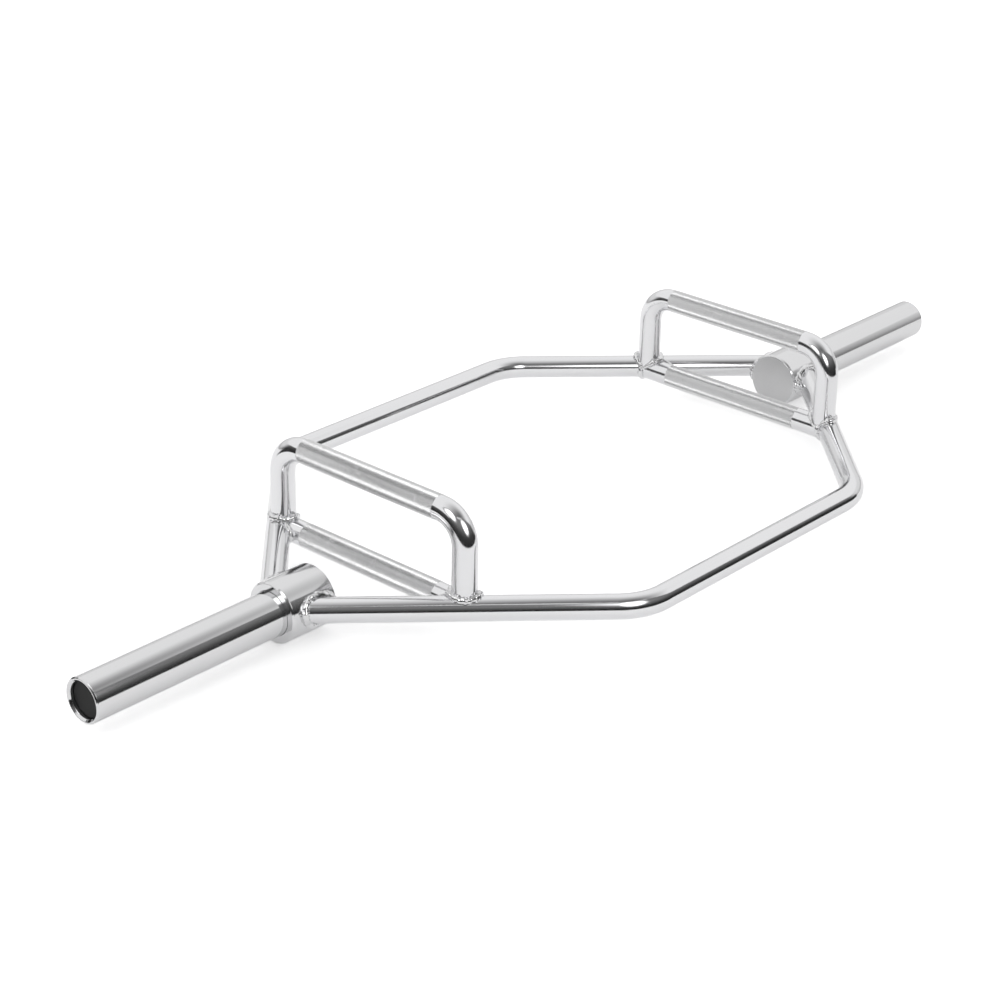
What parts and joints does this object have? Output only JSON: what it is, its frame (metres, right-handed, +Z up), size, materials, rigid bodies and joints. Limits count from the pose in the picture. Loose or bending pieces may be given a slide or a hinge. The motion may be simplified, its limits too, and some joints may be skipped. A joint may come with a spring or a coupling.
{
  "type": "hex trap bar",
  "caption": "Welded steel hex trap bar with a hexagonal frame to stand in, raised and low knurled grips on both sides, and plate sleeves fixed in hubs at the ends.",
  "frame": {"origin": "under the middle of the bar, level with the underside of the hubs", "axes": "+X along the sleeves to the right, +Y to the rear, +Z up towards the raised handles"},
  "size_m": [1.4418, 0.578, 0.1538],
  "materials": {
    "polished_chrome": "bright polished chrome plate; the grips are knurled and look matte",
    "satin_chrome": "turned steel under chrome plate, satin",
    "weld_chrome": "rippled weld metal under bright chrome plate",
    "black_plastic": "black moulded plastic"
  },
  "bodies": {
    "root": {"front_frame_bar": "polished_chrome", "rear_frame_bar": "polished_chrome", "left_raised_handle": "polished_chrome", "left_lower_handle": "polished_chrome", "right_raised_handle": "polished_chrome", "right_lower_handle": "polished_chrome", "left_hub": "satin_chrome", "left_sleeve": "satin_chrome", "right_hub": "satin_chrome", "right_sleeve": "satin_chrome", "left_front_hub_weld": "weld_chrome", "left_front_raised_handle_weld": "weld_chrome", "left_front_lower_handle_weld": "weld_chrome", "left_rear_hub_weld": "weld_chrome", "left_rear_raised_handle_weld": "weld_chrome", "left_rear_lower_handle_weld": "weld_chrome", "right_front_hub_weld": "weld_chrome", "right_front_raised_handle_weld": "weld_chrome", "right_front_lower_handle_weld": "weld_chrome", "right_rear_hub_weld": "weld_chrome", "right_rear_raised_handle_weld": "weld_chrome", "right_rear_lower_handle_weld": "weld_chrome", "left_sleeve_cap": "black_plastic", "right_sleeve_cap": "black_plastic"}
  },
  "joints": []
}
